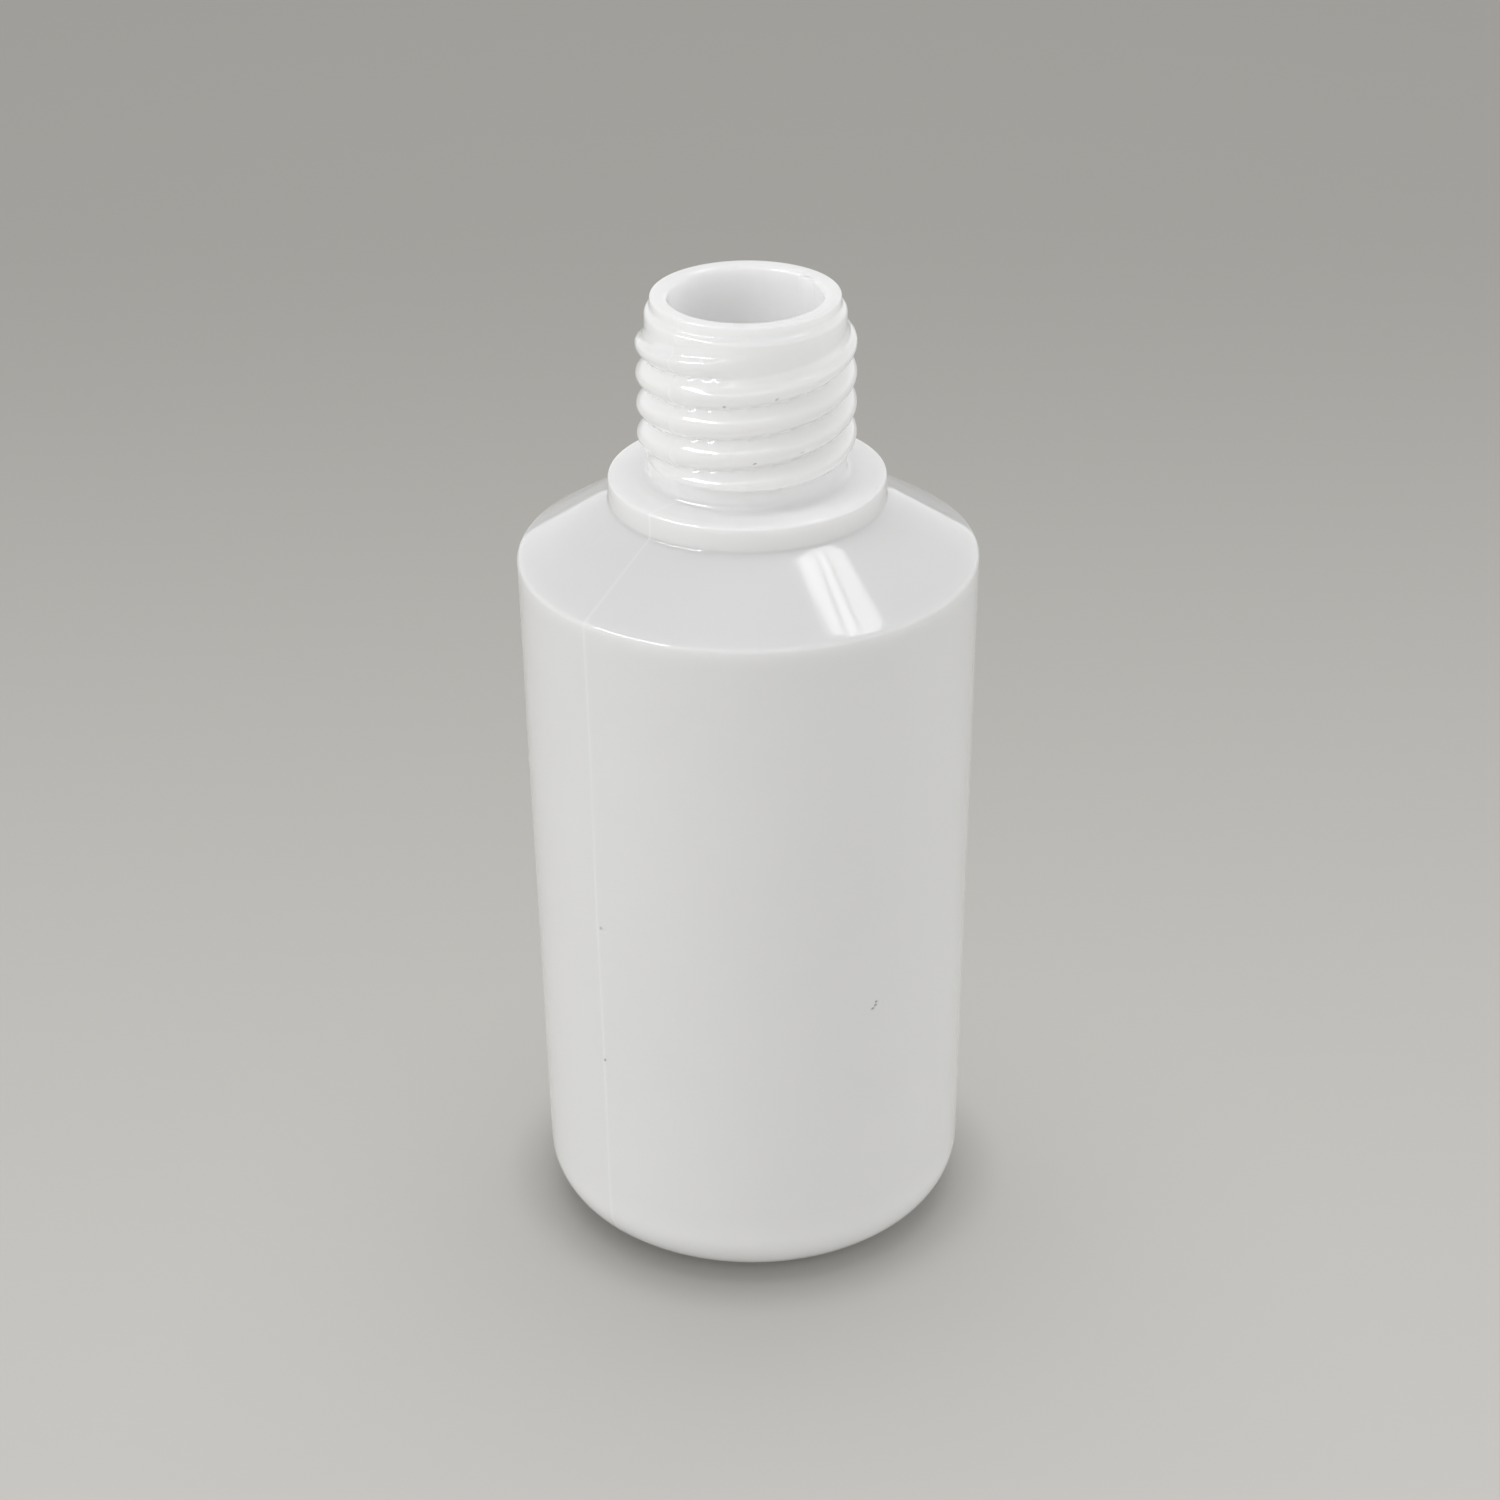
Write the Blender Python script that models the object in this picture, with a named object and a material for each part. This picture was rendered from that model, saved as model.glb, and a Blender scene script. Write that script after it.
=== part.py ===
"""Small blow-moulded bottle with a two-start threaded neck, a collar and an open mouth.

The bottle is one continuous plastic moulding, so it is one object. It stands on the plane z = 0, centred on the
Z axis, with its front towards -Y. Its wall is turned from one outline, drawn from the middle of the underside, up the
outside, over the lip and down the inside. The thread is then raised on the neck. Units are metres.
"""

import math

import bmesh
import bpy

MM = 0.001

# Mesh density.
SEGMENTS = 60
ROWS_PER_PITCH = 8
CORNER_STEPS = 3

# Driving dimensions of the outside.
HEIGHT = 68.4 * MM
BASE_RADIUS = 14.86 * MM
SHOULDER_RADIUS = 15.58 * MM
BASE_CORNER = 3.75 * MM
STANDING_RING_WIDTH = 1.6 * MM
PUSH_UP = 0.9 * MM
SHOULDER_Z = 50.36 * MM
SHOULDER_CORNER = 0.45 * MM
COLLAR_RADIUS = 9.31 * MM
COLLAR_BOTTOM_Z = 54.11 * MM
COLLAR_TOP_Z = 55.86 * MM
COLLAR_CORNER = 0.2 * MM

# Neck, from the collar up.
NECK_RADIUS = 6.65 * MM
NECK_TOP_Z = 67.62 * MM
NECK_CORNER = 0.45 * MM
LIP_RADIUS = 6.27 * MM
LIP_CORNER = 0.15 * MM
BORE_RADIUS = 5.1 * MM

# Thread. Two ridges, each climbing one lead in a turn, half a turn apart.
THREAD_STARTS = 2
THREAD_PITCH = 2.12 * MM
CREST_RADIUS = 7.29 * MM
CREASE_DEPTH = 0.17 * MM
CREST_ROUNDNESS = 0.88
FIRST_CREST_Z = 65.17 * MM
FIRST_CREST_AZIMUTH = math.radians(-88)
THREAD_BOTTOM_Z = 57.25 * MM
THREAD_TOP_Z = 65.75 * MM
RUN_OUT = 0.6 * MM
THREAD_FOOT_Z = 57.95 * MM
THREAD_FOOT_BLEND = 0.3 * MM
THREAD_ROWS_FROM_Z = 56.6 * MM
THREAD_ROWS_TO_Z = 66.8 * MM

# Walls.
WALL = 0.8 * MM
BASE_THICKNESS = 1.0 * MM
BORE_BOTTOM_Z = 54.3 * MM

PLASTIC_COLOUR = (0.80, 0.80, 0.79, 1.0)
PLASTIC_ROUGHNESS = 0.3


def remove_scene_objects():
    for item in list(bpy.data.objects):
        bpy.data.objects.remove(item, do_unlink=True)


def make_plastic():
    material = bpy.data.materials.new("natural_polyethylene")
    material.use_nodes = True
    shader = material.node_tree.nodes["Principled BSDF"]
    shader.inputs["Base Color"].default_value = PLASTIC_COLOUR
    shader.inputs["Roughness"].default_value = PLASTIC_ROUGHNESS
    shader.inputs["Metallic"].default_value = 0.0
    material.diffuse_color = PLASTIC_COLOUR
    return material


def arc(centre_r, centre_z, radius, start_deg, end_deg, steps):
    """Points of a circular arc in the (radius, height) plane, both ends included."""
    points = []
    for step in range(steps + 1):
        angle = math.radians(start_deg + (end_deg - start_deg) * step / steps)
        points.append((centre_r + radius * math.cos(angle), centre_z + radius * math.sin(angle)))
    return points


def cone_angle_deg():
    """Angle of the shoulder cone's normal above the horizontal."""
    drop = COLLAR_BOTTOM_Z - SHOULDER_Z
    run = SHOULDER_RADIUS - COLLAR_RADIUS
    return math.degrees(math.atan2(run, drop))


def base_outline():
    """Underside from its middle out, the standing ring and the rounded corner above it."""
    ring_outer = BASE_RADIUS - BASE_CORNER
    ring_inner = ring_outer - STANDING_RING_WIDTH
    points = [(0.0, PUSH_UP), (ring_inner * 0.6, PUSH_UP * 0.8), (ring_inner, 0.0)]
    points += arc(ring_outer, BASE_CORNER, BASE_CORNER, -90, 0, 2 * CORNER_STEPS)
    return points


def shoulder_outline():
    """Rounded shoulder edge, then the straight cone up to the collar."""
    edge = arc(SHOULDER_RADIUS - SHOULDER_CORNER, SHOULDER_Z - SHOULDER_CORNER, SHOULDER_CORNER,
               0, cone_angle_deg(), CORNER_STEPS)
    return edge + [(COLLAR_RADIUS, COLLAR_BOTTOM_Z)]


def collar_outline():
    corner = arc(COLLAR_RADIUS - COLLAR_CORNER, COLLAR_TOP_Z - COLLAR_CORNER, COLLAR_CORNER, 0, 90, 2)
    return corner + [(NECK_RADIUS, COLLAR_TOP_Z)]


def neck_outline():
    """Plain neck with the rows that the thread is raised on, and its rounded top corner."""
    rows = round((THREAD_ROWS_TO_Z - THREAD_ROWS_FROM_Z) / THREAD_PITCH * ROWS_PER_PITCH)
    step = (THREAD_ROWS_TO_Z - THREAD_ROWS_FROM_Z) / rows
    points = [(NECK_RADIUS, THREAD_ROWS_FROM_Z + step * row) for row in range(rows + 1)]
    points += arc(NECK_RADIUS - NECK_CORNER, NECK_TOP_Z - NECK_CORNER, NECK_CORNER, 0, 90, CORNER_STEPS)
    return points


def lip_outline():
    """Thin ring on top of the neck, flat on top, with small round corners."""
    outer = arc(LIP_RADIUS - LIP_CORNER, HEIGHT - LIP_CORNER, LIP_CORNER, 0, 90, 2)
    inner = arc(BORE_RADIUS + LIP_CORNER, HEIGHT - LIP_CORNER, LIP_CORNER, 90, 180, 2)
    return outer + inner


def inner_outline():
    """Bore, underside of the shoulder, inner wall and floor, from the lip down to the axis."""
    inner_shoulder_r = SHOULDER_RADIUS - WALL
    inner_base_r = BASE_RADIUS - WALL
    inner_corner = BASE_CORNER - WALL
    floor_z = PUSH_UP + BASE_THICKNESS
    slope = (COLLAR_BOTTOM_Z - SHOULDER_Z) / (SHOULDER_RADIUS - COLLAR_RADIUS)
    wall_top_z = SHOULDER_Z - WALL
    bore_foot = BORE_RADIUS + WALL
    points = [(BORE_RADIUS, BORE_BOTTOM_Z)]
    points.append((bore_foot, wall_top_z + slope * (inner_shoulder_r - bore_foot)))
    points.append((inner_shoulder_r, wall_top_z))
    lower = arc(inner_base_r - inner_corner, BASE_CORNER, inner_corner, 0, -90, CORNER_STEPS)
    points += lower
    points += [(lower[-1][0] * 0.6, floor_z * 0.9), (0.0, floor_z)]
    return points


def bottle_outline():
    return (base_outline() + shoulder_outline() + collar_outline() + neck_outline()
            + lip_outline() + inner_outline())


def spin_outline(outline):
    """Turn an outline that starts and ends on the axis into one closed skin."""
    mesh = bmesh.new()
    verts = [mesh.verts.new((0.0, -r, z)) for r, z in outline]
    edges = [mesh.edges.new(pair) for pair in zip(verts, verts[1:])]
    bmesh.ops.spin(mesh, geom=verts + edges, cent=(0, 0, 0), axis=(0, 0, 1), dvec=(0, 0, 0),
                   angle=math.tau, steps=SEGMENTS, use_merge=True, use_duplicate=False)
    bmesh.ops.remove_doubles(mesh, verts=mesh.verts, dist=1e-6)
    bmesh.ops.recalc_face_normals(mesh, faces=mesh.faces)
    return mesh


def smooth_step(low, high, value):
    ratio = min(1.0, max(0.0, (value - low) / (high - low)))
    return ratio * ratio * (3.0 - 2.0 * ratio)


def ridge_strength(crest_z):
    """1 where a ridge is whole, fading to 0 past either end of the thread."""
    starting = smooth_step(THREAD_BOTTOM_Z - RUN_OUT, THREAD_BOTTOM_Z, crest_z)
    ending = smooth_step(THREAD_TOP_Z, THREAD_TOP_Z + RUN_OUT, crest_z)
    return starting * (1.0 - ending)


def thread_radius(azimuth, z):
    """Neck radius at a point: round crests with a narrow crease between each two, and a plain foot below them."""
    lead = THREAD_STARTS * THREAD_PITCH
    crest_z = FIRST_CREST_Z + lead * (azimuth - FIRST_CREST_AZIMUTH) / math.tau
    turns = (z - crest_z) / THREAD_PITCH
    nearest = round(turns)
    offset = turns - nearest
    neighbour = nearest + (1 if offset > 0 else -1)
    foot = smooth_step(THREAD_FOOT_Z, THREAD_FOOT_Z + THREAD_FOOT_BLEND, z)
    strength = foot * ridge_strength(crest_z + nearest * THREAD_PITCH)
    shared = min(strength, ridge_strength(crest_z + neighbour * THREAD_PITCH))
    rise = CREST_RADIUS - NECK_RADIUS
    height = abs(math.cos(math.pi * offset)) ** CREST_ROUNDNESS
    profile = rise - (rise + CREASE_DEPTH) * (1.0 - height)
    return NECK_RADIUS + strength * max(0.0, profile) + shared * min(0.0, profile)


def raise_thread(mesh):
    """Move the rows of the plain neck out to the thread's ridges and in to its creases."""
    for vert in mesh.verts:
        radius = math.hypot(vert.co.x, vert.co.y)
        in_rows = THREAD_ROWS_FROM_Z < vert.co.z < THREAD_ROWS_TO_Z
        if in_rows and abs(radius - NECK_RADIUS) < 0.01 * MM:
            azimuth = math.atan2(vert.co.x, -vert.co.y)
            scale = thread_radius(azimuth, vert.co.z) / radius
            vert.co.x *= scale
            vert.co.y *= scale


def make_bottle(material):
    shape = spin_outline(bottle_outline())
    raise_thread(shape)
    mesh = bpy.data.meshes.new("bottle")
    shape.to_mesh(mesh)
    shape.free()
    mesh.materials.append(material)
    mesh.shade_smooth()
    mesh.set_sharp_from_angle(angle=math.radians(40))
    bottle = bpy.data.objects.new("bottle", mesh)
    bpy.context.scene.collection.objects.link(bottle)
    return bottle


def main():
    remove_scene_objects()
    make_bottle(make_plastic())


main()
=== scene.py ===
"""Looks of a small open bottle of natural polyethylene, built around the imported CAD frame.

The CAD bottle is replaced by a finer skin of the same size. It adds the marks of moulding: parting lines,
a sliver of flash at the lip, a guessed pinch-off seam under the base, small pits and a slightly wavy wall.
Its lowest thread ridge reaches further down than the CAD part's. The plastic is milky and scatters light
below its surface. Everything is in metres, with +Z up and the front towards -Y.
"""

import math

import bmesh
import bpy
from mathutils import Matrix, Vector, noise


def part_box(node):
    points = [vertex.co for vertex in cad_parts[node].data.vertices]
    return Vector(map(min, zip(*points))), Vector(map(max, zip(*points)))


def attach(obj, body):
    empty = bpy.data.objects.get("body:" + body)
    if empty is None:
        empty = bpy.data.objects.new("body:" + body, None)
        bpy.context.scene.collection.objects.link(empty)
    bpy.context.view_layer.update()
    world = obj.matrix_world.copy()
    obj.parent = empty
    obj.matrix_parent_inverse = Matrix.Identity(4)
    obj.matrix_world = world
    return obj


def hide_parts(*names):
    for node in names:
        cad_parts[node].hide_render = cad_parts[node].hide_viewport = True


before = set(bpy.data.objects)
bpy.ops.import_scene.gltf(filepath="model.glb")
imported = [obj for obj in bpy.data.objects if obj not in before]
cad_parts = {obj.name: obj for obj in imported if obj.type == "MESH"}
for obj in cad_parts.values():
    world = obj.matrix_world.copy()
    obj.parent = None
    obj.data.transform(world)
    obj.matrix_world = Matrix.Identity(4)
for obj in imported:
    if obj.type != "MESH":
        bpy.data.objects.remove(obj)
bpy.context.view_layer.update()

MM = 0.001

# Overall size, from the frame.
LOW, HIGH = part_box("bottle")
HEIGHT = HIGH[2] - LOW[2]
SHOULDER_RADIUS = (HIGH[0] - LOW[0]) / 2

# The rest of the shape, as the CAD part has it.
BASE_RADIUS = 14.86 * MM
BASE_CORNER = 3.75 * MM
STANDING_RING_WIDTH = 1.6 * MM
PUSH_UP = 0.9 * MM
SHOULDER_Z = 50.36 * MM
SHOULDER_CORNER = 0.45 * MM
COLLAR_RADIUS = 9.31 * MM
COLLAR_BOTTOM_Z = 54.11 * MM
COLLAR_TOP_Z = 55.86 * MM
COLLAR_CORNER = 0.2 * MM
NECK_RADIUS = 6.65 * MM
NECK_TOP_Z = 67.62 * MM
NECK_CORNER = 0.45 * MM
LIP_RADIUS = 6.27 * MM
LIP_CORNER = 0.15 * MM
BORE_RADIUS = 5.1 * MM
WALL = 0.8 * MM
BASE_THICKNESS = 1.0 * MM
BORE_BOTTOM_Z = 54.3 * MM
RECESS_STEP_RADIUS = 0.6  # where the underside's two slopes meet, as a share of the ring's inner radius
RECESS_STEP_HEIGHT = 0.8  # and of the push-up
FLOOR_STEP_HEIGHT = 0.9  # the same step on the inside, as a share of the floor's height

# Thread, as the CAD part has it.
THREAD_STARTS = 2
THREAD_PITCH = 2.12 * MM
CREST_RADIUS = 7.29 * MM
CREASE_DEPTH = 0.17 * MM
CREST_ROUNDNESS = 0.88
FIRST_CREST_Z = 65.17 * MM
FIRST_CREST_AZIMUTH = math.radians(-88)
THREAD_BOTTOM_Z = 57.25 * MM
THREAD_TOP_Z = 65.75 * MM
RUN_OUT = 0.6 * MM

# Unlike the CAD part: the lowest ridge's foot, rounded creases, the topmost ridge's flank, small fillets and
# the off-centre mouth.
THREAD_FOOT_Z = 57.3 * MM
THREAD_FOOT_BLEND = 0.3 * MM
CREASE_ROUNDING = 0.05
OPEN_FLANK = (  # distance above the crest in pitches, and height as a share of the ridge
    (0.0, 1.0),
    (0.10, 0.957),
    (0.22, 0.47),
    (0.5, 0.2),
)
NECK_CORNER_END_DEG = 60
FOOT_FILLET = 0.5 * MM
COLLAR_FILLET = 0.3 * MM
LIP_INNER_CORNER = 0.4 * MM
MOUTH_SHIFT = 0.2 * MM
MOUTH_SHIFT_DEPTH = 4 * MM

# Mould marks. Azimuths run from the front, -Y, towards +X.
PARTING_AZIMUTHS = (math.radians(-43.3), math.radians(136.7))
PARTING_WIDTH = 0.12 * MM
PARTING_HEIGHT = 0.02 * MM
# Lighter along the parting lines: thicker plastic there, and a painted highlight on the seam's ridge.
PARTING_MILK_AND_HIGHLIGHT = 0.3
PARTING_WANDER = 0.12 * MM
PARTING_WANDERS_PER_METRE = 60
PARTING_PATCHES_PER_METRE = 150
FLASH_AZIMUTH = math.radians(128)
FLASH_HALF_ANGLE = math.radians(9)
FLASH_REACH = 0.5 * MM
FLASH_BELOW_LIP = 0.3 * MM
FLASH_THICKNESS = 0.15 * MM
PINCH_OFF_LENGTH = 15 * MM
PINCH_OFF_WIDTH = 0.7 * MM
PINCH_OFF_HEIGHT = 0.3 * MM
WAVE_HEIGHT = 0.03 * MM
WAVE_STRETCH = 45
WAVE_SCALE = 1.6
PITS = (  # azimuth in degrees, height and radius in mm
    (-42.0, 27.2, 0.21),
    (-43.0, 16.4, 0.15),
    (33.8, 21.95, 0.14),  # three pits in a row make the comma-shaped mark
    (33.6, 21.7, 0.15),
    (32.9, 21.5, 0.13),
    (-12.0, 63.2, 0.14),
    (16.0, 63.7, 0.12),
    (4.0, 59.4, 0.12),
    (30.0, 59.8, 0.12),
)
PIT_DEPTH = 0.09 * MM
COMMA_AZIMUTH_DEG = 33.5

# Plastic.
SCATTER_THIN = 1.2 * MM
SCATTER_THICK = 3 * MM
PLASTIC_CLEAR = (0.75, 0.75, 0.75, 1.0)
PLASTIC_CLOUDY = (0.79, 0.79, 0.79, 1.0)
PLASTIC_MILKY = (1.0, 1.0, 1.0, 1.0)
# Whiteness of the body and collar; the shoulder cone gets none of it, which is painted shade.
BODY_MILK = 0.42
COLLAR_MILK = 0.85
NECK_MILK = 0.74
# Painted light on the base's foot, where the shaded floor below darkens it.
BASE_PAINTED_LIGHT = 0.7
BASE_PAINTED_LIGHT_TOP_Z = 1.6 * BASE_CORNER
# Painted light in the thread's creases and at the neck's foot, where they lie in shade.
CREASE_PAINTED_LIGHT = 1.2
# Darker colour mixed in at the pits.
PIT_DARK_COLOUR = (0.35, 0.35, 0.35, 1.0)
REFRACTION = 1.51
ROUGHNESS_LOW = 0.06
ROUGHNESS_HIGH = 0.1
CLOUDS_PER_METRE = 60.0
CLOUD_DETAIL = 3.0
GRAINS_PER_METRE = 2500.0
GRAIN_DETAIL = 2.0
GRAIN_STRENGTH = 0.12
GRAIN_HEIGHT = 0.01 * MM

# Floor and light.
FLOOR_HALF_SIDE = 3.0
# The floor's colour darkens from front to back: a painted fall-off of the light.
FLOOR_FRONT_Y = -0.12
FLOOR_BACK_Y = 0.22
FLOOR_FRONT_COLOUR = (0.504, 0.496, 0.475, 1.0)
FLOOR_BACK_COLOUR = (0.300, 0.292, 0.2755, 1.0)
SKY_EVEN = 0.55
SKY_HORIZON = 0.48
SKY_HORIZON_RIGHT = 0.45
SKY_HORIZON_SHARPNESS = 2.0
WINDOW_HEIGHT = 0.45
WINDOW_PANES = (  # left side, right side and radiance
    (0.106, 0.126, 2.6),
    (0.126, 0.168, 5.2),
    (0.175, 0.196, 5.6),
    (0.203, 0.250, 4.0),
)
WINDOW_NEAR_Y = 0.02
WINDOW_FAR_Y = 0.21
LEFT_STRIP_PLACE = (-0.444, -0.207, 0.461)
LEFT_KEY_SIZE = (0.36, 0.09)
LEFT_KEY_RADIANCE = 11.0
LEFT_GLINT_SIZE = (0.42, 0.05)
LEFT_GLINT_RADIANCE = 45.0
FRONT_GLINT_PLACE = (-0.085, -0.483, 0.461)
FRONT_GLINT_SIZE = (0.69, 0.09)
FRONT_GLINT_RADIANCE = 3.0
FLOOR_GLOW_SIZE = 60 * MM
FLOOR_GLOW_HEIGHT = 0.1 * MM
FLOOR_GLOW_RADIANCE = 0.1
FLOOR_LAMPS = (  # side, tilt to the back and radiance
    (0.746, 15.0, 1.55),
    (0.429, 0.0, 0.55),
    (0.056, 0.0, 147.0),
)
FLOOR_LAMP_HEIGHT = 0.8

# Mesh density.
COLUMNS = 270
WALL_ROWS = 48
ROWS_PER_PITCH = 16
THREAD_ROWS_FROM_Z = 56.5 * MM
THREAD_ROWS_TO_Z = 66.8 * MM
PARTING_COLUMN_STEP_DEG = 0.3
COMMA_COLUMN_STEP_DEG = 0.35
ON_AXIS = 1e-6

# Camera: distance in front of the axis, height above the floor and angles of the view.
CAMERA_DISTANCE = 0.21015
CAMERA_HEIGHT = 0.14725
CAMERA_PITCH = math.radians(28.16)
CAMERA_ROLL = math.radians(-0.573)
CAMERA_LENS_MM = 82.25
CAMERA_CLIP_START = 0.01
SENSOR_MM = 36


# ---- outline ---------------------------------------------------------------------------------------------


def line(start, end, steps):
    """Points from start to end, without the last one."""
    return [(start[0] + (end[0] - start[0]) * i / steps, start[1] + (end[1] - start[1]) * i / steps)
            for i in range(steps)]


def arc(centre_r, centre_z, radius, start_deg, end_deg, steps):
    """Points of a circular arc in the (radius, height) plane, both ends included."""
    points = []
    for step in range(steps + 1):
        angle = math.radians(start_deg + (end_deg - start_deg) * step / steps)
        points.append((centre_r + radius * math.cos(angle), centre_z + radius * math.sin(angle)))
    return points


def cone_slope():
    return (COLLAR_BOTTOM_Z - SHOULDER_Z) / (SHOULDER_RADIUS - COLLAR_RADIUS)


def base_rows():
    ring_outer = BASE_RADIUS - BASE_CORNER
    ring_inner = ring_outer - STANDING_RING_WIDTH
    step = (ring_inner * RECESS_STEP_RADIUS, PUSH_UP * RECESS_STEP_HEIGHT)
    recess = line((0.0, PUSH_UP), step, 14)
    slope = line(step, (ring_inner, 0.0), 8)
    corner = arc(ring_outer, BASE_CORNER, BASE_CORNER, -90, 0, 14)
    return recess + slope + line((ring_inner, 0.0), (ring_outer, 0.0), 3) + corner


def wall_rows():
    """The side wall, with closer rows at the pits."""
    wall_height = SHOULDER_Z - SHOULDER_CORNER - BASE_CORNER
    heights = [BASE_CORNER + wall_height * i / WALL_ROWS for i in range(1, WALL_ROWS)]
    for _, pit_z, pit_radius in PITS:
        if pit_z * MM < SHOULDER_Z:
            heights += [(pit_z + pit_radius * k / 2) * MM for k in range(-3, 4)]
    top = SHOULDER_Z - SHOULDER_CORNER
    rows = []
    for z in sorted(heights):
        radius = BASE_RADIUS + (SHOULDER_RADIUS - BASE_RADIUS) * (z - BASE_CORNER) / (top - BASE_CORNER)
        rows.append((radius, z))
    return rows


def shoulder_rows():
    cone_normal_deg = math.degrees(math.atan2(1.0, cone_slope()))
    corner = arc(SHOULDER_RADIUS - SHOULDER_CORNER, SHOULDER_Z - SHOULDER_CORNER, SHOULDER_CORNER,
                 0, cone_normal_deg, 6)
    cone_top = (COLLAR_RADIUS + COLLAR_FILLET, COLLAR_BOTTOM_Z - COLLAR_FILLET * cone_slope())
    return corner[:-1] + line(corner[-1], cone_top, 14)


def collar_rows():
    """Fillet above the cone, the collar's wall and its flat top."""
    cone_normal = math.atan2(1.0, cone_slope())
    fillet_z = COLLAR_BOTTOM_Z + COLLAR_FILLET * (1.0 - math.cos(cone_normal)) / math.sin(cone_normal)
    fillet = arc(COLLAR_RADIUS + COLLAR_FILLET, fillet_z, COLLAR_FILLET,
                 180 + math.degrees(cone_normal), 180, 4)
    wall = fillet[:-1] + line(fillet[-1], (COLLAR_RADIUS, COLLAR_TOP_Z - COLLAR_CORNER), 4)
    corner = arc(COLLAR_RADIUS - COLLAR_CORNER, COLLAR_TOP_Z - COLLAR_CORNER, COLLAR_CORNER, 0, 90, 4)
    return wall + corner[:-1] + line(corner[-1], (NECK_RADIUS + FOOT_FILLET, COLLAR_TOP_Z), 4)


def neck_rows():
    """Foot of the neck, the rows that the thread is raised on, and the rounded top corner."""
    rows = round((THREAD_ROWS_TO_Z - THREAD_ROWS_FROM_Z) / THREAD_PITCH * ROWS_PER_PITCH)
    step = (THREAD_ROWS_TO_Z - THREAD_ROWS_FROM_Z) / rows
    foot = arc(NECK_RADIUS + FOOT_FILLET, COLLAR_TOP_Z + FOOT_FILLET, FOOT_FILLET, 270, 180, 5)
    thread = [(NECK_RADIUS, THREAD_ROWS_FROM_Z + step * row) for row in range(rows + 1)]
    corner = arc(NECK_RADIUS - NECK_CORNER, NECK_TOP_Z - NECK_CORNER, NECK_CORNER, 0, NECK_CORNER_END_DEG, 6)
    return foot + thread + corner


def lip_rows():
    """Hollow fillet from the neck's top corner to the lip, then over the lip to the bore."""
    turn = math.radians(NECK_CORNER_END_DEG)
    centre_r = NECK_RADIUS - NECK_CORNER
    centre_z = NECK_TOP_Z - NECK_CORNER
    fillet = (centre_r + NECK_CORNER * math.cos(turn) - LIP_RADIUS) / (1.0 - math.cos(turn))
    hollow = arc(LIP_RADIUS + fillet, centre_z + (NECK_CORNER + fillet) * math.sin(turn), fillet,
                 180 + NECK_CORNER_END_DEG, 180, 5)
    outer = arc(LIP_RADIUS - LIP_CORNER, HEIGHT - LIP_CORNER, LIP_CORNER, 0, 90, 5)
    inner = arc(BORE_RADIUS + LIP_INNER_CORNER, HEIGHT - LIP_INNER_CORNER, LIP_INNER_CORNER, 90, 180, 6)
    return hollow[1:] + outer + line(outer[-1], inner[0], 3)[1:] + inner


def inside_rows():
    inner_shoulder_r = SHOULDER_RADIUS - WALL
    inner_base_r = BASE_RADIUS - WALL
    inner_corner = BASE_CORNER - WALL
    wall_top_z = SHOULDER_Z - WALL
    floor_z = PUSH_UP + BASE_THICKNESS
    bore_foot = BORE_RADIUS + WALL
    cone_top = (bore_foot, wall_top_z + cone_slope() * (inner_shoulder_r - bore_foot))
    lower = arc(inner_base_r - inner_corner, BASE_CORNER, inner_corner, 0, -90, 6)
    rows = line((BORE_RADIUS, HEIGHT - LIP_INNER_CORNER), (BORE_RADIUS, BORE_BOTTOM_Z), 12)[1:]
    rows += line((BORE_RADIUS, BORE_BOTTOM_Z), cone_top, 2)
    rows += line(cone_top, (inner_shoulder_r, wall_top_z), 6)
    rows += line((inner_shoulder_r, wall_top_z), lower[0], 10)
    middle = (lower[-1][0] * RECESS_STEP_RADIUS, floor_z * FLOOR_STEP_HEIGHT)
    centre = (0.0, floor_z)
    return rows + lower[:-1] + line(lower[-1], middle, 3) + line(middle, centre, 4) + [centre]


# ---- relief on the outline -------------------------------------------------------------------------------


def smooth_step(low, high, value):
    ratio = min(1.0, max(0.0, (value - low) / (high - low)))
    return ratio * ratio * (3.0 - 2.0 * ratio)


def angle_between(first, second):
    """Signed difference of two angles, between -180 and 180 degrees."""
    return (first - second + math.pi) % math.tau - math.pi


def ridge_strength(crest_z):
    """1 where a ridge is whole, fading to 0 past either end of the thread."""
    starting = smooth_step(THREAD_BOTTOM_Z - RUN_OUT, THREAD_BOTTOM_Z, crest_z)
    ending = smooth_step(THREAD_TOP_Z, THREAD_TOP_Z + RUN_OUT, crest_z)
    return starting * (1.0 - ending)


def open_flank(offset):
    """Upper flank of a ridge with none above it: a round crest, a steep part, then a long gentle skirt."""
    for (start, high), (end, low) in zip(OPEN_FLANK, OPEN_FLANK[1:]):
        if offset <= end:
            return high + (low - high) * (offset - start) / (end - start)
    return OPEN_FLANK[-1][1]


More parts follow.
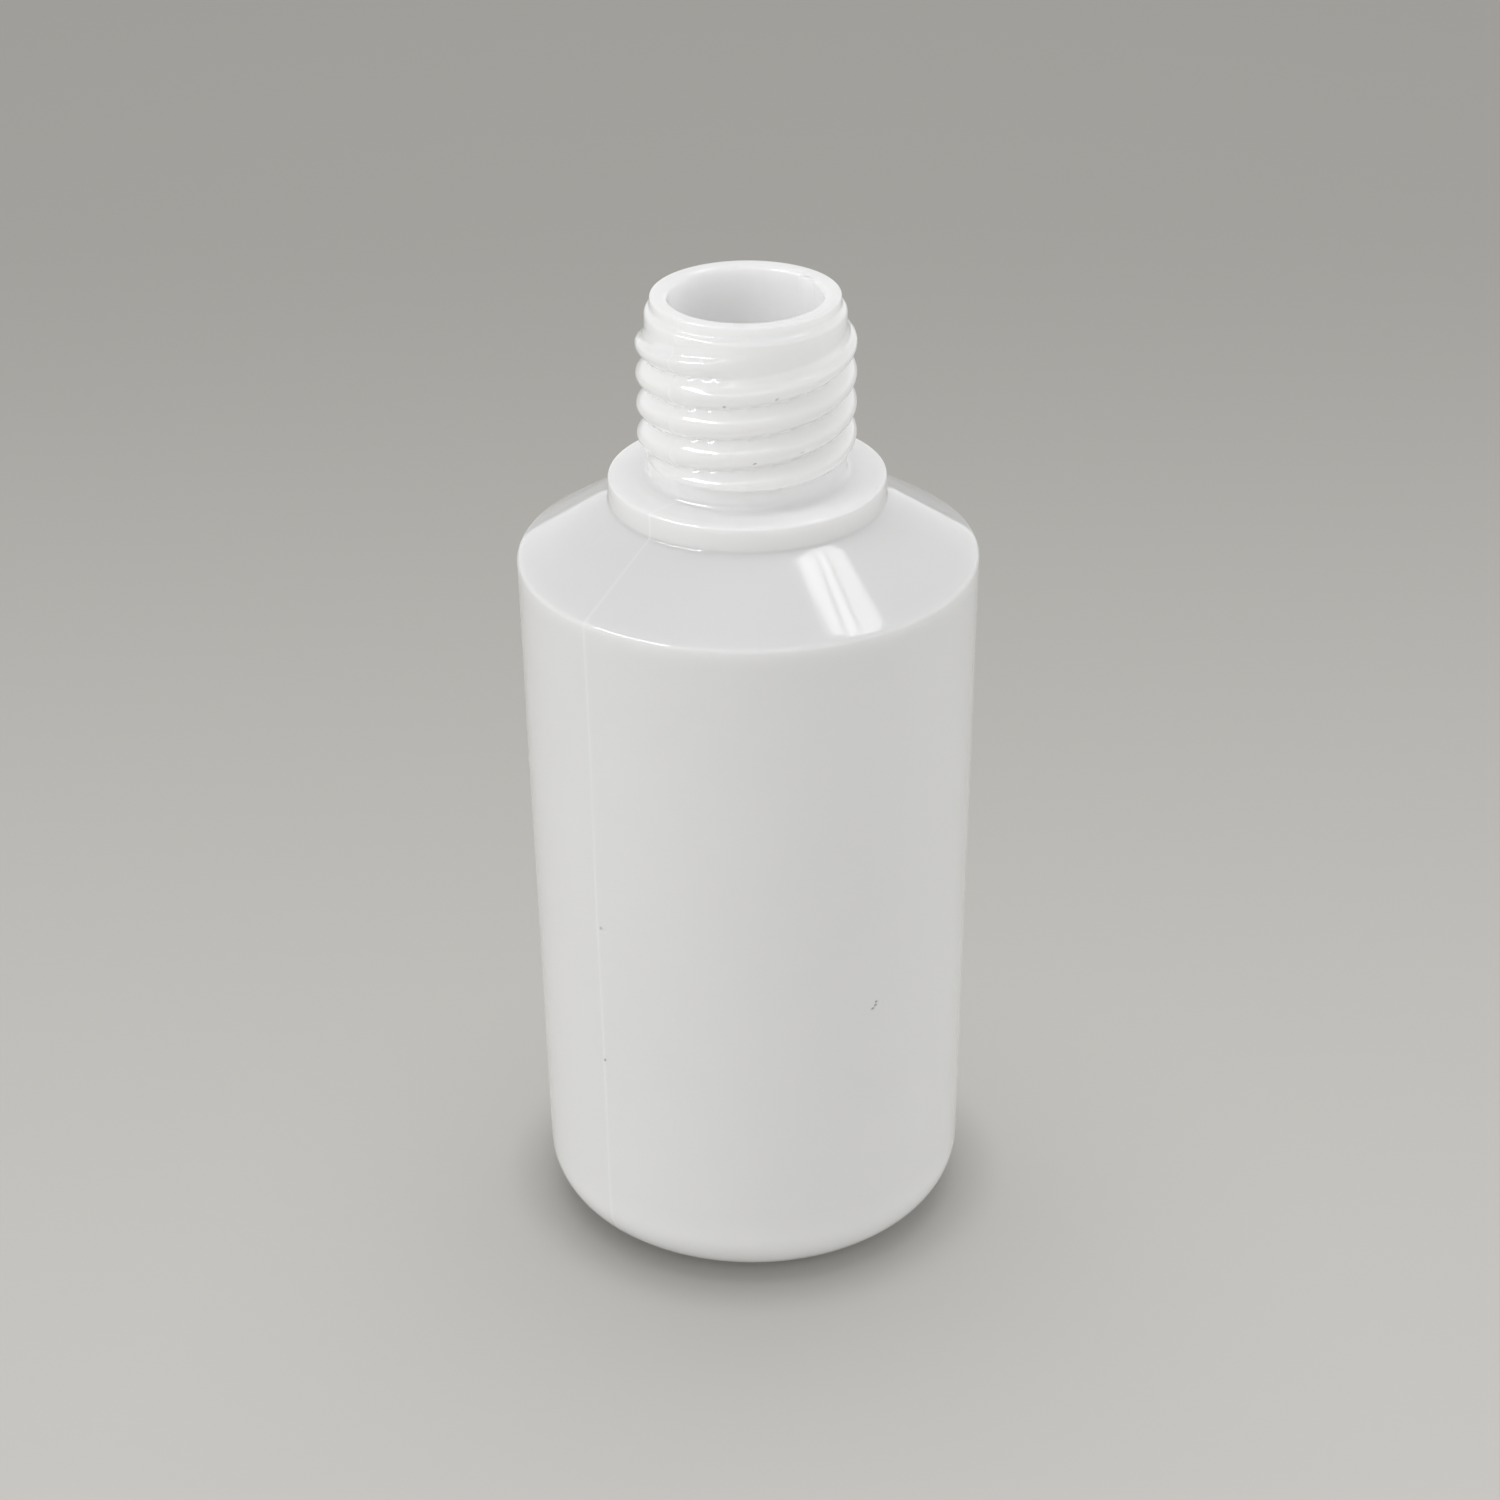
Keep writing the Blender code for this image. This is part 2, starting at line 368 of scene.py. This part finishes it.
def thread_relief(azimuth, z):
    """Height of the thread above the plain neck, and how deep in a crease the point lies."""
    lead = THREAD_STARTS * THREAD_PITCH
    crest_z = FIRST_CREST_Z + lead * (azimuth - FIRST_CREST_AZIMUTH) / math.tau
    turns = (z - crest_z) / THREAD_PITCH
    nearest = round(turns)
    offset = turns - nearest
    neighbour = nearest + (1 if offset > 0 else -1)
    foot = smooth_step(THREAD_FOOT_Z, THREAD_FOOT_Z + THREAD_FOOT_BLEND, z)
    strength = foot * ridge_strength(crest_z + nearest * THREAD_PITCH)
    beyond = ridge_strength(crest_z + neighbour * THREAD_PITCH)
    shared = min(strength, beyond)
    rise = CREST_RADIUS - NECK_RADIUS
    height = math.hypot(math.cos(math.pi * offset), CREASE_ROUNDING) ** CREST_ROUNDNESS
    if offset > 0:
        height = beyond * height + (1.0 - beyond) * open_flank(offset)
    profile = rise - (rise + CREASE_DEPTH) * (1.0 - height)
    return strength * max(0.0, profile) + shared * min(0.0, profile), shared * (1.0 - height)


def parting_strength(azimuth, radius, z):
    """1 on the thin line where the mould's halves met, a little more or less from place to place."""
    total = 0.0
    for line_azimuth in PARTING_AZIMUTHS:
        wander = PARTING_WANDER * noise.noise(Vector((line_azimuth, 0.0, z * PARTING_WANDERS_PER_METRE)))
        across = angle_between(azimuth, line_azimuth) * radius - wander
        strength = 0.8 + 0.6 * noise.noise(Vector((7.0, line_azimuth, z * PARTING_PATCHES_PER_METRE)))
        total += strength * math.exp(-((across / PARTING_WIDTH) ** 2))
    return total


def wave_relief(azimuth, z):
    """Slight unevenness of a blow-moulded wall."""
    place = Vector((math.sin(azimuth), -math.cos(azimuth), z * WAVE_STRETCH))
    return WAVE_HEIGHT * noise.noise(place * WAVE_SCALE)


def pit_depth_ratio(azimuth, radius, z):
    """0 outside the pits and 1 at the middle of one."""
    ratio = 0.0
    for pit_azimuth, pit_z, pit_radius in PITS:
        across = angle_between(azimuth, math.radians(pit_azimuth)) * radius
        distance = math.hypot(across, z - pit_z * MM) / (pit_radius * MM)
        ratio = max(ratio, 1.0 - smooth_step(0.2, 1.0, distance))
    return ratio


def flash_relief(azimuth, z):
    """A sliver of plastic squeezed out at the lip's outer edge."""
    along = angle_between(azimuth, FLASH_AZIMUTH) / FLASH_HALF_ANGLE
    if abs(along) > 1.0:
        return 0.0
    ragged = 0.75 + 0.5 * noise.noise(Vector((azimuth * 30, 0.0, 3.0)))
    height = math.exp(-(((z - HEIGHT + FLASH_BELOW_LIP) / FLASH_THICKNESS) ** 2))
    return FLASH_REACH * ragged * (1.0 - along * along) * height


def pinch_off_relief(x, y):
    """Seam under the base where the mould closed the tube of plastic, along the parting plane."""
    line_azimuth = PARTING_AZIMUTHS[0]
    along = x * math.sin(line_azimuth) - y * math.cos(line_azimuth)
    across = x * math.cos(line_azimuth) + y * math.sin(line_azimuth)
    end = 1.0 - smooth_step(0.42 * PINCH_OFF_LENGTH, 0.5 * PINCH_OFF_LENGTH, abs(along))
    return PINCH_OFF_HEIGHT * end * math.exp(-((across / (0.5 * PINCH_OFF_WIDTH)) ** 2))


# ---- the skin --------------------------------------------------------------------------------------------


def column_azimuths():
    """Even columns, with closer ones at the parting lines and the comma-shaped mark."""
    azimuths = [math.tau * i / COLUMNS - math.pi for i in range(COLUMNS)]
    for centre in PARTING_AZIMUTHS:
        azimuths += [centre + math.radians(PARTING_COLUMN_STEP_DEG * k) for k in range(-3, 4)]
    azimuths += [math.radians(COMMA_AZIMUTH_DEG + COMMA_COLUMN_STEP_DEG * k) for k in range(-2, 3)]
    return sorted(angle_between(azimuth, 0.0) for azimuth in azimuths)


def on_circle(azimuth, radius, z):
    return Vector((radius * math.sin(azimuth), -radius * math.cos(azimuth), z))


def outside_point(azimuth, radius, z):
    """A point of the outer skin with its relief, and how deep it lies in a pit."""
    pit = pit_depth_ratio(azimuth, radius, z)
    relief = PARTING_HEIGHT * parting_strength(azimuth, radius, z) - PIT_DEPTH * pit
    if BASE_CORNER < z < COLLAR_BOTTOM_Z:
        relief += wave_relief(azimuth, z)
    if THREAD_ROWS_FROM_Z < z < THREAD_ROWS_TO_Z:
        relief += thread_relief(azimuth, z)[0]
    if z > NECK_TOP_Z:
        relief += flash_relief(azimuth, z)
    return on_circle(azimuth, min(radius + relief, SHOULDER_RADIUS), z), pit


def inside_point(azimuth, radius, z):
    """A point of the inner skin. The mouth is a little off centre."""
    point = on_circle(azimuth, radius, z)
    point.x += MOUTH_SHIFT * smooth_step(HEIGHT - MOUTH_SHIFT_DEPTH, HEIGHT, z)
    return point


def wall_thickness(z):
    """0 on the thin body wall, 1 in the thick neck and on the collar's top."""
    return smooth_step(COLLAR_TOP_Z - COLLAR_CORNER, COLLAR_TOP_Z, z)


def whiteness_and_painted_light(azimuth, z):
    """Whiteness with painted light and shade: 0 on the shoulder cone, 1 in the creases of the thread."""
    # The shoulder cone is left greyer than the body: painted shade against the light it catches from above.
    cone_painted_shade = smooth_step(SHOULDER_Z - SHOULDER_CORNER, SHOULDER_Z, z)
    on_collar = smooth_step(COLLAR_BOTTOM_Z, COLLAR_BOTTOM_Z + COLLAR_CORNER, z)
    level = BODY_MILK * (1.0 - cone_painted_shade + on_collar)
    level += (COLLAR_MILK - BODY_MILK) * smooth_step(COLLAR_TOP_Z - COLLAR_CORNER, COLLAR_TOP_Z, z)
    level += (NECK_MILK - COLLAR_MILK) * smooth_step(COLLAR_TOP_Z, COLLAR_TOP_Z + FOOT_FILLET, z)
    # Painted light on the base's foot.
    level += BASE_PAINTED_LIGHT * (1.0 - smooth_step(0.0, BASE_PAINTED_LIGHT_TOP_Z, z))
    # Lighter along the parting lines: thicker plastic, and a painted highlight on the seam.
    level += PARTING_MILK_AND_HIGHLIGHT * parting_strength(azimuth, SHOULDER_RADIUS, z)
    # Painted light in the creases and at the neck's foot, against the shade there.
    if COLLAR_TOP_Z < z < THREAD_ROWS_TO_Z:
        above_foot = smooth_step(THREAD_FOOT_Z, THREAD_FOOT_Z + THREAD_FOOT_BLEND, z)
        level += CREASE_PAINTED_LIGHT * (1.0 - above_foot + above_foot * thread_relief(azimuth, z)[1])
    return level


def build_grid(outside, inside):
    """Vertices row by row, with the pit ratio, wall thickness and whiteness with painted light of each."""
    azimuths = column_azimuths()
    points = []
    pits = []
    for radius, z in outside:
        for azimuth in azimuths:
            if z < BASE_CORNER * 0.3 and radius < BASE_RADIUS - BASE_CORNER:
                point = on_circle(azimuth, radius, z)
                point.z = max(0.0, z - pinch_off_relief(point.x, point.y))
                pit = 0.0
            else:
                point, pit = outside_point(azimuth, radius, z)
            points.append(point)
            pits.append(pit)
    for radius, z in inside:
        points += [inside_point(azimuth, radius, z) for azimuth in azimuths]
        pits += [0.0] * len(azimuths)
    heights = [z for _, z in outside + inside]
    milk_and_painted_light = [whiteness_and_painted_light(azimuth, z) for _, z in outside for azimuth in azimuths]
    # The whole inside is fully white: painted light in the bore and inside the body.
    milk_and_painted_light += [1.0] * (len(inside) * len(azimuths))
    thickness = [wall_thickness(z) for z in heights for _ in azimuths]
    return points, {"pit_dark": pits, "milk_and_painted_light": milk_and_painted_light, "thick": thickness}, len(azimuths)


def grid_faces(row_count, columns):
    faces = []
    for row in range(row_count - 1):
        for column in range(columns):
            after = (column + 1) % columns
            low = row * columns
            faces.append((low + column, low + after, low + columns + after, low + columns + column))
    return faces


def make_bottle(material):
    outside = base_rows() + wall_rows() + shoulder_rows() + collar_rows() + neck_rows() + lip_rows()
    inside = inside_rows()
    points, values, columns = build_grid(outside, inside)
    mesh = bpy.data.meshes.new("bottle_skin")
    mesh.from_pydata(points, [], grid_faces(len(outside) + len(inside), columns))
    for name, value in values.items():
        mesh.attributes.new(name, "FLOAT", "POINT").data.foreach_set("value", value)
    merge_poles(mesh)
    mesh.materials.append(material)
    mesh.shade_smooth()
    mesh.set_sharp_from_angle(angle=math.radians(50))
    skin = bpy.data.objects.new("bottle_skin", mesh)
    bpy.context.scene.collection.objects.link(skin)
    return skin


def merge_poles(mesh):
    """Join the rings of points on the axis into one point each."""
    work = bmesh.new()
    work.from_mesh(mesh)
    on_axis = [vert for vert in work.verts if math.hypot(vert.co.x, vert.co.y) < ON_AXIS]
    bmesh.ops.remove_doubles(work, verts=on_axis, dist=ON_AXIS)
    bmesh.ops.recalc_face_normals(work, faces=work.faces)
    work.to_mesh(mesh)
    work.free()


# ---- materials -------------------------------------------------------------------------------------------


def mix_colours(material, first, second, factor):
    """Colour socket of a node that goes from the first colour to the second one."""
    mix = material.node_tree.nodes.new("ShaderNodeMix")
    mix.data_type = "RGBA"
    for socket, colour in ((mix.inputs[6], first), (mix.inputs[7], second)):
        if isinstance(colour, tuple):
            socket.default_value = colour
        else:
            material.node_tree.links.new(colour, socket)
    material.node_tree.links.new(factor, mix.inputs["Factor"])
    return mix.outputs[2]


def make_polyethylene():
    """Milky, glossy, cloudy plastic that light soaks into; darker in the pits; painted light and shade."""
    material = bpy.data.materials.new("milky_polyethylene")
    material.use_nodes = True
    nodes = material.node_tree.nodes
    links = material.node_tree.links
    shader = nodes["Principled BSDF"]
    shader.inputs["Subsurface Weight"].default_value = 1.0
    shader.inputs["Subsurface Radius"].default_value = (1.0, 1.0, 1.0)
    shader.inputs["IOR"].default_value = REFRACTION
    coordinates = nodes.new("ShaderNodeTexCoord")

    thick = nodes.new("ShaderNodeAttribute")
    thick.attribute_name = "thick"
    scatter = nodes.new("ShaderNodeMapRange")
    scatter.inputs["To Min"].default_value = SCATTER_THIN
    scatter.inputs["To Max"].default_value = SCATTER_THICK
    links.new(thick.outputs["Fac"], scatter.inputs["Value"])
    links.new(scatter.outputs["Result"], shader.inputs["Subsurface Scale"])

    cloud = nodes.new("ShaderNodeTexNoise")
    cloud.inputs["Scale"].default_value = CLOUDS_PER_METRE
    cloud.inputs["Detail"].default_value = CLOUD_DETAIL
    links.new(coordinates.outputs["Object"], cloud.inputs["Vector"])
    tint = mix_colours(material, PLASTIC_CLEAR, PLASTIC_CLOUDY, cloud.outputs["Fac"])
    # Whiter where the plastic is thick and where light is painted in; greyer where shade is painted.
    milk_and_painted_light = nodes.new("ShaderNodeAttribute")
    milk_and_painted_light.attribute_name = "milk_and_painted_light"
    whiter = mix_colours(material, tint, PLASTIC_MILKY, milk_and_painted_light.outputs["Fac"])
    # Darker in the pits.
    pit_dark = nodes.new("ShaderNodeAttribute")
    pit_dark.attribute_name = "pit_dark"
    links.new(mix_colours(material, whiter, PIT_DARK_COLOUR, pit_dark.outputs["Fac"]), shader.inputs["Base Color"])

    grain = nodes.new("ShaderNodeTexNoise")
    grain.inputs["Scale"].default_value = GRAINS_PER_METRE
    grain.inputs["Detail"].default_value = GRAIN_DETAIL
    links.new(coordinates.outputs["Object"], grain.inputs["Vector"])
    gloss = nodes.new("ShaderNodeMapRange")
    gloss.inputs["To Min"].default_value = ROUGHNESS_LOW
    gloss.inputs["To Max"].default_value = ROUGHNESS_HIGH
    links.new(cloud.outputs["Fac"], gloss.inputs["Value"])
    links.new(gloss.outputs["Result"], shader.inputs["Roughness"])
    bump = nodes.new("ShaderNodeBump")
    bump.inputs["Strength"].default_value = GRAIN_STRENGTH
    bump.inputs["Distance"].default_value = GRAIN_HEIGHT
    links.new(grain.outputs["Fac"], bump.inputs["Height"])
    links.new(bump.outputs["Normal"], shader.inputs["Normal"])
    return material


def make_floor_material():
    """Pale matt sheet, lighter towards the front: a painted fall-off of the light."""
    material = bpy.data.materials.new("pale_floor")
    material.use_nodes = True
    nodes = material.node_tree.nodes
    links = material.node_tree.links
    shader = nodes["Principled BSDF"]
    shader.inputs["Roughness"].default_value = 1.0
    shader.inputs["Specular IOR Level"].default_value = 0.0
    coordinates = nodes.new("ShaderNodeTexCoord")
    split = nodes.new("ShaderNodeSeparateXYZ")
    links.new(coordinates.outputs["Object"], split.inputs["Vector"])
    ratio = nodes.new("ShaderNodeMapRange")
    ratio.interpolation_type = "SMOOTHSTEP"
    ratio.inputs["From Min"].default_value = FLOOR_FRONT_Y
    ratio.inputs["From Max"].default_value = FLOOR_BACK_Y
    links.new(split.outputs["Y"], ratio.inputs["Value"])
    tone = mix_colours(material, FLOOR_FRONT_COLOUR, FLOOR_BACK_COLOUR, ratio.outputs["Result"])
    links.new(tone, shader.inputs["Base Color"])
    return material


# ---- stage, lights and camera ----------------------------------------------------------------------------


def make_floor():
    half = FLOOR_HALF_SIDE
    mesh = bpy.data.meshes.new("floor")
    corners = [(-half, -half, 0.0), (half, -half, 0.0), (half, half, 0.0), (-half, half, 0.0)]
    mesh.from_pydata(corners, [], [(0, 1, 2, 3)])
    mesh.materials.append(make_floor_material())
    floor = bpy.data.objects.new("floor", mesh)
    bpy.context.scene.collection.objects.link(floor)
    return floor


def make_panel_light(name, place, target, size, radiance):
    """Rectangular soft light whose face has the given radiance, hidden from the camera."""
    lamp = bpy.data.lights.new(name, "AREA")
    lamp.shape = "RECTANGLE"
    lamp.size = size[0]
    lamp.size_y = size[1]
    lamp.energy = radiance * math.pi * size[0] * size[1]
    light = bpy.data.objects.new(name, lamp)
    light.location = place
    light.rotation_euler = (Vector(target) - Vector(place)).to_track_quat("-Z", "Y").to_euler()
    light.visible_camera = False
    bpy.context.scene.collection.objects.link(light)
    return light


def make_world():
    """Even soft light that is brighter towards the horizon, most of all on the right."""
    world = bpy.data.worlds.new("soft_room")
    world.use_nodes = True
    nodes = world.node_tree.nodes
    links = world.node_tree.links

    def calculate(operation, *values, clamp=False):
        step = nodes.new("ShaderNodeMath")
        step.operation = operation
        step.use_clamp = clamp
        for socket, value in zip(step.inputs, values):
            if isinstance(value, float):
                socket.default_value = value
            else:
                links.new(value, socket)
        return step.outputs["Value"]

    coordinates = nodes.new("ShaderNodeTexCoord")
    split = nodes.new("ShaderNodeSeparateXYZ")
    links.new(coordinates.outputs["Generated"], split.inputs["Vector"])
    lowness = calculate("SUBTRACT", 1.0, split.outputs["Z"], clamp=True)
    band = calculate("POWER", lowness, SKY_HORIZON_SHARPNESS)
    right = calculate("MULTIPLY", split.outputs["X"], 1.0, clamp=True)
    horizon = calculate("MULTIPLY_ADD", right, SKY_HORIZON_RIGHT, SKY_HORIZON)
    level = calculate("MULTIPLY_ADD", band, horizon, SKY_EVEN)
    links.new(level, nodes["Background"].inputs["Strength"])
    nodes["Background"].inputs["Color"].default_value = (1.0, 1.0, 1.0, 1.0)
    bpy.context.scene.world = world


def light_only(lights, item):
    """Let the lights fall on one object alone."""
    receivers = bpy.data.collections.new(f"lit_{item.name}")
    receivers.objects.link(item)
    for light in lights:
        light.light_linking.receiver_collection = receivers


def make_window():
    """Panes overhead on the right: a dim one, then brighter ones with dark bars between them."""
    panes = []
    for index, (left, right, radiance) in enumerate(WINDOW_PANES):
        place = ((left + right) / 2, (WINDOW_NEAR_Y + WINDOW_FAR_Y) / 2, WINDOW_HEIGHT)
        pane = make_panel_light(f"window_pane_{index}", place, (place[0], place[1], 0.0),
                                (right - left, WINDOW_FAR_Y - WINDOW_NEAR_Y), radiance)
        pane.rotation_euler = (0.0, 0.0, 0.0)
        panes.append(pane)
    return panes


def make_strips():
    """A soft key on the left, and two strip lights that only show as glints on the glossy edges."""
    middle = (0.0, 0.0, SHOULDER_Z)
    key = make_panel_light("left_key", LEFT_STRIP_PLACE, middle, LEFT_KEY_SIZE, LEFT_KEY_RADIANCE)
    glint = make_panel_light("left_glint", LEFT_STRIP_PLACE, middle, LEFT_GLINT_SIZE, LEFT_GLINT_RADIANCE)
    front = make_panel_light("front_glint", FRONT_GLINT_PLACE, middle, FRONT_GLINT_SIZE, FRONT_GLINT_RADIANCE)
    for light in (glint, front):
        light.visible_diffuse = False
        light.visible_transmission = False
    return [key, glint, front]


def make_floor_glow():
    """Low light under the bottle, standing in for what a pale floor throws up on the bottle's foot."""
    glow = make_panel_light("floor_glow", (0.0, 0.0, FLOOR_GLOW_HEIGHT), (0.0, 0.0, 1.0),
                            (FLOOR_GLOW_SIZE, FLOOR_GLOW_SIZE), FLOOR_GLOW_RADIANCE)
    glow.visible_glossy = False
    return [glow]


def make_floor_lamps():
    """Lamps overhead that give the floor its even light and the bottle its soft contact shadow."""
    lamps = []
    for index, (side, tilt, radiance) in enumerate(FLOOR_LAMPS):
        back = FLOOR_LAMP_HEIGHT * math.tan(math.radians(tilt))
        place = (0.0, back, FLOOR_LAMP_HEIGHT)
        lamps.append(make_panel_light(f"floor_lamp_{index}", place, (0.0, 0.0, 0.0), (side, side), radiance))
    return lamps


def make_camera():
    lens = bpy.data.cameras.new("camera")
    lens.lens = CAMERA_LENS_MM
    lens.sensor_width = SENSOR_MM
    lens.clip_start = CAMERA_CLIP_START
    camera = bpy.data.objects.new("camera", lens)
    place = Matrix.Translation((0.0, -CAMERA_DISTANCE, CAMERA_HEIGHT))
    tilt = Matrix.Rotation(math.pi / 2 - CAMERA_PITCH, 4, "X")
    camera.matrix_world = place @ tilt @ Matrix.Rotation(CAMERA_ROLL, 4, "Z")
    bpy.context.scene.collection.objects.link(camera)
    bpy.context.scene.camera = camera


bpy.context.scene.view_settings.view_transform = "Standard"
make_camera()
make_world()
floor = make_floor()
bottle = make_bottle(make_polyethylene())
light_only(make_window() + make_strips() + make_floor_glow(), bottle)
light_only(make_floor_lamps(), floor)
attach(bottle, "root")
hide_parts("bottle")
